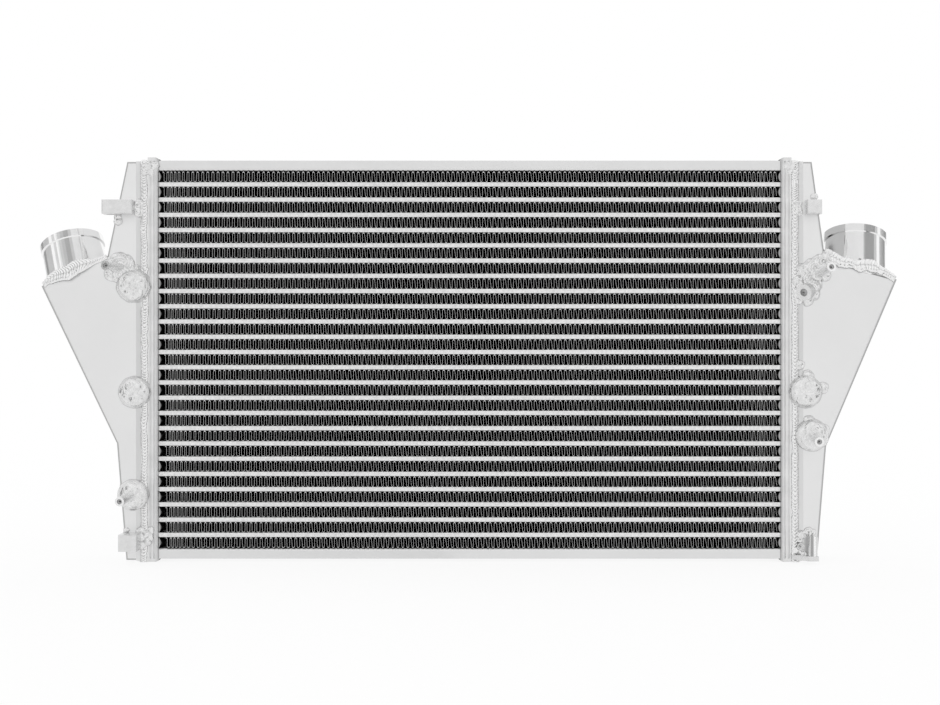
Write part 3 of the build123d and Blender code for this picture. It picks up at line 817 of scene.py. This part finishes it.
mound("upper_left_corner_weld",
      [(-331.5, 406.8, 4.6, 2.4), (-324.6, 407.6, 4.2, 1.8), (-328.3, 401.0, 4.0, 1.6),
       (-334.5, 400.0, 3.6, 2.6)], 15)
mound("upper_right_corner_weld",
      [(326.9, 407.4, 4.2, 1.8), (332.6, 407.0, 4.4, 2.4), (330.0, 401.2, 3.4, 1.8)], 16)
mound("upper_left_lug_weld",
      [(-339.2, 368.0, 5.3, 3.0), (-339.7, 359.8, 5.7, 3.2), (-342.3, 364.4, 4.1, 2.2)], 1)
mound("upper_left_lug_drop", [(-360.7, 354.7, 3.7, 3.0), (-360.3, 350.0, 4.4, 3.2)], 2)
mound("upper_left_nipple_weld",
      [(-359.2, 309.0, 9.8, 5.0), (-351.5, 307.4, 8.0, 4.5), (-358.2, 299.7, 9.8, 6.5),
       (-350.0, 299.2, 7.4, 5.0), (-365.9, 303.8, 8.2, 4.0), (-368.5, 295.6, 7.0, 4.0),
       (-342.3, 301.3, 4.6, 2.5), (-362.8, 292.6, 5.6, 3.5), (-341.8, 294.6, 4.9, 2.5)], 3)
mound("upper_left_boss_weld", boss_cover(UPPER_LEFT_BOSS, 21, 6, 0.50, 2.2), 4,
      rings=[(*UPPER_LEFT_BOSS, 14.2, 3.6, 5.0)])
mound("middle_left_boss_weld",
      [(*MIDDLE_LEFT_BOSS, 14.6, 2.2, 6.2), (-345.5, 180.0, 9.0, 2.4, 7.6), (-342.0, 167.5, 7.4, 2.2, 7.4),
       (-350.5, 169.5, 4.6, 1.4, 7.4), (-337.0, 175.0, 4.4, 1.4, 7.4)], 5,
      rings=[(*MIDDLE_LEFT_BOSS, 14.0, 2.6, 4.5)])
mound("lower_left_nipple_weld",
      [(*LOWER_LEFT_BOSS, 14.2, 2.4, 6.2), (-346.5, 75.5, 7.4, 2.2, 7.6), (-341.5, 64.0, 7.2, 1.8, 7.6)], 6,
      rings=[(*LOWER_LEFT_BOSS, 13.8, 2.2, 4.5)])
mound("lower_block_weld",
      [(-337.7, 31.8, 5.1, 3.5), (-332.6, 28.8, 5.1, 4.0), (-337.7, 25.2, 5.6, 4.5), (-331.5, 21.1, 5.1, 4.0),
       (-337.2, 17.5, 5.3, 4.5), (-328.5, 25.7, 4.3, 3.5), (-327.9, 32.9, 4.1, 3.0)], 7)
mound("lower_block_fleck", [(-351.5, 33.1, 2.7, 2.2), (-354.6, 31.6, 2.3, 1.6)], 8)
mound("upper_right_weld_mass",
      [(342.8, 299.7, 8.2, 3.5), (351.0, 303.8, 8.7, 4.0), (359.2, 308.0, 8.7, 4.2), (367.5, 313.1, 7.7, 4.0),
       (355.1, 295.6, 8.2, 4.8), (363.4, 299.7, 8.2, 5.2), (369.5, 304.4, 6.7, 4.5), (346.9, 290.5, 9.2, 5.0),
       (337.2, 288.4, 6.2, 3.5), (355.1, 285.4, 7.2, 4.0), (350.0, 277.2, 6.7, 3.8), (340.8, 276.1, 8.7, 3.5),
       (365.4, 293.6, 5.6, 3.5), (352.5, 283.0, 7.5, 8.5), (353.5, 275.5, 6.5, 7.0), (346.5, 287.5, 6.5, 6.5),
       (339.5, 285.5, 5.5, 4.5), (347.0, 268.5, 6.0, 4.5), (337.5, 269.5, 5.0, 3.0)], 9)
mound("upper_right_lug_weld",
      [(337.2, 368.0, 4.4, 3.0), (337.2, 362.4, 4.3, 2.8), (339.2, 358.5, 3.3, 1.8)], 10)
mound("upper_right_lug_drop", [(353.1, 375.1, 3.7, 2.4)], 11)
mound("middle_right_boss_weld",
      [(*MIDDLE_RIGHT_BOSS, 14.8, 2.6, 6.2), (340.5, 168.5, 6.6, 1.8, 7.6), (345.5, 166.5, 5.4, 1.6, 7.6),
       (337.0, 172.5, 4.2, 1.2, 7.4), (350.5, 181.5, 6.0, 1.4, 7.6), (352.0, 169.5, 4.2, 1.2, 7.4),
       (346.9, 191.5, 6.4, 3.2), (362.3, 179.1, 6.4, 3.2), (339.2, 202.7, 5.3, 2.5)], 12,
      rings=[(*MIDDLE_RIGHT_BOSS, 14.6, 2.4, 4.5)])
mound("lower_right_boss_weld",
      [(*LOWER_RIGHT_BOSS, 14.4, 2.2, 6.2), (350.0, 137.5, 7.6, 2.2, 7.4), (357.5, 134.0, 5.2, 1.8, 7.4),
       (342.5, 125.5, 4.0, 1.4, 7.2), (348.5, 144.8, 6.4, 3.0), (363.9, 136.0, 6.2, 3.0)], 13,
      rings=[(*LOWER_RIGHT_BOSS, 14.4, 2.4, 4.5)])
mound("locating_pin_weld",
      [(347.4, 31.8, 4.7, 3.5), (352.1, 31.0, 3.7, 3.0), (340.8, 28.3, 4.7, 3.0), (339.0, 22.6, 3.3, 2.2),
       (336.2, 10.8, 5.1, 2.6), (342.3, 7.2, 4.1, 2.0)], 14)


# ---------------- small turned and pressed forms
def circles(place, aim, profile, spokes):
    """Rings of points round an axis, one for each pair of radius and height along it."""
    aim = np.asarray(aim, float) / np.linalg.norm(aim)
    side = np.cross(aim, (0, 0, 1.0))
    side /= np.linalg.norm(side)
    other = np.cross(aim, side)
    turns = np.linspace(0, 2 * np.pi, spokes, endpoint=False)
    circle = np.cos(turns)[:, None] * side + np.sin(turns)[:, None] * other
    place = np.asarray(place, float)
    return np.concatenate([place + radius * circle + height * aim for radius, height in profile])


def turned(shell, place, aim, profile, spokes=40):
    """A form of revolution, closed at both ends."""
    quads = grid_quads(len(profile), spokes, closed_columns=True)[:, ::-1]
    half = np.arange(spokes // 2 - 1)
    cap = np.stack([half, half + 1, spokes - 2 - half, spokes - 1 - half], 1)
    last = cap + (len(profile) - 1) * spokes
    shell.add(circles(place, aim, profile, spokes), np.concatenate([quads, cap[:, ::-1], last]))


def stepped_bore(shell, place, aim, profile, spokes=32):
    """A ring of closed section, round an axis."""
    quads = grid_quads(len(profile), spokes, closed_rows=True, closed_columns=True)
    shell.add(circles(place, aim, profile, spokes), quads)


def forwards(lean_x, lean_z):
    """The direction out of a tank's front that leans by two angles."""
    return np.array([math.tan(math.radians(lean_x)), -1.0, math.tan(math.radians(lean_z))])


NIPPLE_REACH = 42.0
# each nipple's foot, X and Z, and how it leans
NIPPLES = [(-357.0, 303.0, -12.7, 0.0), (*LOWER_LEFT_BOSS, -9.0, -5.5), (358.5, 295.0, 7.5, 9.0),
           (350.4, 129.9, 1.7, -6.0)]
# radius, and depth below the tip
NIPPLE_STEP = [(2.8, 0.7), (1.7, 1.1), (0.7, 1.3), (0.6, 3.5), (2.8, 3.5)]
# two upright ridges pressed into the header's front: X, width and height
RIDGES = [(324.3, 1.7, 0.55), (328.2, 1.5, 0.5)]
RIDGE_GAP = 3.5
RIDGE_SINK = 0.6


def nipple_steps():
    """The narrow bore inside each nipple's tip, with its dished shoulder."""
    shell = Shell()
    profile = [(radius, NIPPLE_REACH - depth) for radius, depth in NIPPLE_STEP]
    for x, z, lean_x, lean_z in NIPPLES:
        stepped_bore(shell, (x, -TANK_HALF, z), forwards(lean_x, lean_z), profile)
    finish_piece(shell.piece("nipple_bore_steps", smooth=True), SHADED_BORE, "fitting_aluminium")


def plug(name, material, place, aim, profile):
    """A small cupped plug."""
    shell = Shell()
    turned(shell, place, aim, profile)
    finish_piece(shell.piece(name, smooth=True), material, "fitting_aluminium")


def header_ridges(side, sign):
    """Low upright ridges pressed into the header's front."""
    shell = Shell()
    u = np.linspace(-1, 1, 7)
    levels = np.linspace(RIDGE_GAP, HEADER_HEIGHT - RIDGE_GAP, 40)
    for x, width, height in RIDGES:
        rings = []
        for z in levels:
            front = -HEADER_HALF - height * (1 - u ** 2)
            rings.append(np.column_stack([sign * x + u * width / 2, front, np.full(7, z)]))
            rings.append(np.array([[sign * x, -HEADER_HALF + RIDGE_SINK, z]]))
        ends = [[7, 0, 1, 2], [7, 2, 3, 4], [7, 4, 5, 6]]
        base = (len(levels) - 1) * 8
        tops = [[base + v for v in reversed(end)] for end in ends]
        quads = np.concatenate([grid_quads(len(levels), 8, closed_columns=True), ends, tops])
        shell.add(np.concatenate(rings), quads)
    finish_piece(shell.piece(f"{side}_header_ridges", smooth=True), HEADER, "header_aluminium")


nipple_steps()
# one low in the tilted bung's hole, and one beside the locating pin
plug("tilted_bung_plug", SHADED_BORE, (348.6, -TANK_HALF, 279.4), forwards(-35.0, -15.0),
     [(4.05, 8.0), (4.05, 11.4), (3.3, 11.1), (2.6, 11.3), (1.6, 11.9), (0.4, 12.0)])
plug("foot_plug", TURNED, (340.2, -TANK_HALF + 1.5, 15.9), (-0.12, -1.0, 0.05),
     [(3.9, 0.0), (3.9, 2.6), (3.7, 3.2), (3.2, 3.5), (2.6, 3.2), (2.2, 2.2), (1.4, 1.7), (0.4, 1.6)])
header_ridges("left", -1)
header_ridges("right", 1)

# ---------------- welds round the pipes
PIPE_RADIUS = 31.75
# where each pipe's axis meets the tank's roof, the roof's normal, and the weld along the tank's front edge:
# its ripples, and X, Z and half width along it
PORT_PIPES = {
    "left": dict(foot=(-409.77, 0.0, 297.41), axis=(-0.2348, 0.3641, 0.9013), normal=(-0.4163, 0.0, 0.9092),
                 ripples=dict(pitch=2.9, depth=0.18, wander=0.5, lag=1.7, uneven=0.10),
                 edge=[(-437.3, 284.0, 3.7), (-432.1, 288.4, 4.5), (-422.9, 293.1, 7.8), (-412.6, 297.2, 9.4),
                       (-404.4, 302.5, 8.8), (-396.2, 305.4, 6.8), (-388.0, 307.6, 4.3), (-379.8, 310.5, 3.7),
                       (-372.6, 314.1, 2.7)]),
    "right": dict(foot=(402.61, 0.0, 300.2), axis=(0.07165, 0.35745, 0.93118), normal=(0.2554, 0.0, 0.9668),
                  ripples=dict(pitch=3.8, depth=0.08, wander=1.3, lag=0.7, uneven=0.16),
                  edge=[(370.5, 314.1, 7.0), (381.8, 309.5, 7.5), (391.1, 305.9, 5.9), (400.3, 302.8, 6.7),
                        (408.5, 303.0, 6.7), (416.7, 300.8, 6.7), (424.9, 298.5, 5.3), (432.1, 293.8, 3.8),
                        (436.8, 290.3, 3.1)]),
}
EDGE_WELD_RISE = 0.62
EDGE_WELD_HEIGHTS = (2.2, 5.0)


def pipe_axes(side):
    """A pipe's foot and axis, and the two directions across it: sideways, and from front to back."""
    foot, axis = np.array(PORT_PIPES[side]["foot"]), np.array(PORT_PIPES[side]["axis"])
    across = np.cross(axis, (0, 1, 0))
    across /= np.linalg.norm(across)
    return foot, axis, across, np.cross(axis, across)


def pipe_weld(side, seed):
    """A fillet right round a pipe's foot, and the heavier passes along the tank's front edge."""
    random = np.random.default_rng(seed)
    foot, axis, across, beside = pipe_axes(side)
    normal = np.array(PORT_PIPES[side]["normal"])
    turns = np.linspace(0, 2 * np.pi, 180, endpoint=False)
    radial = np.cos(turns)[:, None] * across + np.sin(turns)[:, None] * beside
    on_pipe = foot + PIPE_RADIUS * radial
    run = -((on_pipe - foot) @ normal) / (axis @ normal)
    shell = Shell()
    weld_bead(shell, on_pipe + run[:, None] * axis, radial + normal, 8.0, 3.0, random, pitch=3.2, depth=0.20,
              sink=1.5, lag=0.9, closed=True)
    edge = np.array(PORT_PIPES[side]["edge"])
    if side == "left":
        edge = edge[::-1]
    path = np.column_stack([edge[:, 0], np.full(len(edge), -TANK_HALF + 0.8), edge[:, 1]])
    up = np.tile(np.array([0, -1.0, 0]) + 0.55 * normal, (len(edge), 1))
    heights = np.clip(edge[:, 2] * EDGE_WELD_RISE, *EDGE_WELD_HEIGHTS)
    weld_bead(shell, path, up, 2 * edge[:, 2], heights, random, sink=2.0, columns=21,
              **PORT_PIPES[side]["ripples"])
    finish_piece(shell.piece(f"{side}_pipe_weld", smooth=True), WELD, "weld_metal")


pipe_weld("left", 31)
pipe_weld("right", 32)

# ---------------- the CAD nodes that stay
FINISHES = {
    "top_side_plate": PLATE, "bottom_side_plate": PLATE,
    "left_header_plate": HEADER, "right_header_plate": HEADER,
    "left_end_tank": SHEET, "right_end_tank": SIDE_SHADED_SHEET,
    "left_port_pipe": POLISHED, "right_port_pipe": POLISHED, "locating_pin": PIN,
    "weld_bungs": TURNED, "hose_nipples": NIPPLE, "tilted_bung": TURNED,
    "left_fixing_lug": TURNED, "right_fixing_lug": TURNED, "lower_block": TURNED, "foot_bracket": TURNED,
}
for node, material in FINISHES.items():
    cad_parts[node].data.materials.clear()
    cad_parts[node].data.materials.append(material)

# ---------------- camera
CAMERA_PLACE = (0.4, -2030.0, 215.36)
CAMERA_LENS = 74.36
CAMERA_SENSOR = 36.0
NEAR_CLIP, FAR_CLIP = 0.05, 50.0
camera_data = bpy.data.cameras.new("camera")
camera_data.lens = CAMERA_LENS
camera_data.sensor_width = CAMERA_SENSOR
camera_data.sensor_fit = "HORIZONTAL"
camera_data.clip_start = NEAR_CLIP
camera_data.clip_end = FAR_CLIP
camera = bpy.data.objects.new("camera", camera_data)
camera.location = Vector(np.array(CAMERA_PLACE) * MM + CORE_PLACE)
camera.rotation_euler = (math.radians(90), 0, 0)
bpy.context.scene.collection.objects.link(camera)
bpy.context.scene.camera = camera

# ---------------- floor and light
WHITE = (1, 1, 1, 1)
# metres: the floor's half width, and how far it lies below the feet
FLOOR_HALF = 6.0
FLOOR_DROP = 0.0005
# the share of the floor's look that is plain white rather than lit
FLOOR_GLOW = 0.88


def mix_shaders(tree, factor, first, second):
    """A material that goes from one shader to another."""
    mix = tree.nodes.new("ShaderNodeMixShader")
    link(tree, factor, mix.inputs["Fac"])
    link(tree, first.outputs[0], mix.inputs[1])
    link(tree, second.outputs[0], mix.inputs[2])
    link(tree, mix.outputs[0], tree.nodes["Material Output"].inputs["Surface"])


def matt_material(name, tone):
    material, tree, shader = node_material(name)
    shader.inputs["Base Color"].default_value = (tone, tone, tone, 1)
    shader.inputs["Roughness"].default_value = 1.0
    shader.inputs["Specular IOR Level"].default_value = 0.0
    return material, tree, shader


def stage_piece(name, vertices, faces, material):
    mesh = bpy.data.meshes.new(name)
    mesh.from_pydata(vertices, [], faces)
    mesh.materials.append(material)
    place_mesh(name, mesh)


def seen_directly(tree):
    """1 for camera, mirror and glass rays."""
    rays = tree.nodes.new("ShaderNodeLightPath").outputs
    total = rays["Is Camera Ray"]
    for other in ("Is Glossy Ray", "Is Transmission Ray"):
        total = arithmetic(tree, "ADD", total, rays[other], clamp=True)
    return total


def studio_world():
    """Even white light from all round."""
    world = bpy.data.worlds.new("studio")
    bpy.context.scene.world = world
    world.use_nodes = True
    background = world.node_tree.nodes["Background"]
    background.inputs["Color"].default_value = WHITE
    background.inputs["Strength"].default_value = 1.0


def floor():
    material, tree, shader = matt_material("floor_white", 1.0)
    glow = tree.nodes.new("ShaderNodeEmission")
    glow.inputs["Strength"].default_value = 1.0
    share = arithmetic(tree, "MULTIPLY", seen_directly(tree), FLOOR_GLOW)
    mix_shaders(tree, share, shader, glow)
    corners = [(x * FLOOR_HALF, y * FLOOR_HALF, -FLOOR_DROP) for x, y in ((-1, -1), (1, -1), (1, 1), (-1, 1))]
    stage_piece("floor", corners, [(0, 1, 2, 3)], material)


def grey_card(name, tone, stops):
    """A matt card, in metres about the core, that mirrors show and the camera looks through.

    Each stop along it is a foot and a head.
    """
    material, tree, shader = matt_material(name + "_grey", tone)
    clear = tree.nodes.new("ShaderNodeBsdfTransparent")
    rays = tree.nodes.new("ShaderNodeLightPath").outputs
    mix_shaders(tree, rays["Is Camera Ray"], shader, clear)
    vertices = [Vector(end) + Vector(CORE_PLACE) for ends in stops for end in ends]
    faces = [(2 * i, 2 * i + 2, 2 * i + 3, 2 * i + 1) for i in range(len(stops) - 1)]
    stage_piece(name, vertices, faces, material)


# how far a ribbon card stands from its pipe, in metres, how far along the pipe it is mirrored, and how wide
# across the pipe each of its flats is, in pipe radii
RIBBON_REACH = 0.8
RIBBON_ENDS = (-25.0, 60.0)
RIBBON_FLAT = 0.03


def ribbon_cards(side, bands):
    """Narrow curved cards standing where a pipe mirrors them, each showing as a band along it.

    A band is two places across the pipe, from -1 at its right edge to 1 at its left, a tone and, where it
    isn't the usual, how far away its card stands.
    """
    foot, axis, across, ahead = pipe_axes(side)
    ahead *= -np.sign(ahead[1])
    lens = np.array(CAMERA_PLACE)
    for index, (start, end, tone, *far) in enumerate(bands):
        stops = []
        distance = (far[0] if far else RIBBON_REACH) / MM
        for place in np.linspace(start, end, max(int(abs(end - start) / RIBBON_FLAT), 2)):
            normal = across * place + ahead * math.sqrt(1 - place * place)
            ends = []
            for along in RIBBON_ENDS:
                spot = foot + axis * along + normal * PIPE_RADIUS
                view = (spot - lens) / np.linalg.norm(spot - lens)
                mirrored = view - 2 * (view @ normal) * normal
                ends.append((spot + mirrored * distance) * MM)
            stops.append(ends)
        grey_card(f"ribbon_{side}_{index + 1}", tone, stops)


studio_world()
floor()
ribbon_cards("left", [
    (-0.74, -0.22, 0.88), (-0.22, -0.13, 0.66), (-0.13, 0.02, 0.48), (0.02, 0.13, 0.60), (0.13, 0.22, 0.70),
    (0.22, 0.27, 0.90), (0.325, 0.42, 0.76), (0.53, 0.77, 0.61), (0.77, 0.87, 0.38), (0.87, 0.95, 0.80)])
ribbon_cards("right", [
    (-0.89, -0.78, 0.39), (-0.78, -0.69, 0.50), (-0.69, -0.64, 0.64), (-0.53, -0.44, 0.66),
    (-0.44, -0.13, 0.40), (-0.13, -0.08, 0.52), (-0.08, 0.48, 0.90), (0.48, 0.53, 0.66), (0.53, 0.58, 0.78),
    (0.58, 0.68, 0.54, 0.6)])
grey_card("card_above", 0.40, [[(-1.2, -1.5, 1.5), (-1.2, -1.5, 1.9)], [(1.2, -1.5, 1.5), (1.2, -1.5, 1.9)]])
for side, sign in (("left", -1), ("right", 1)):
    grey_card(f"card_{side}", 0.30, [[(sign * x, y, level) for level in (0.0, 0.5)]
                                     for x, y in ((1.5, -0.95), (1.2, -1.6))])
bpy.context.scene.view_settings.view_transform = "Standard"
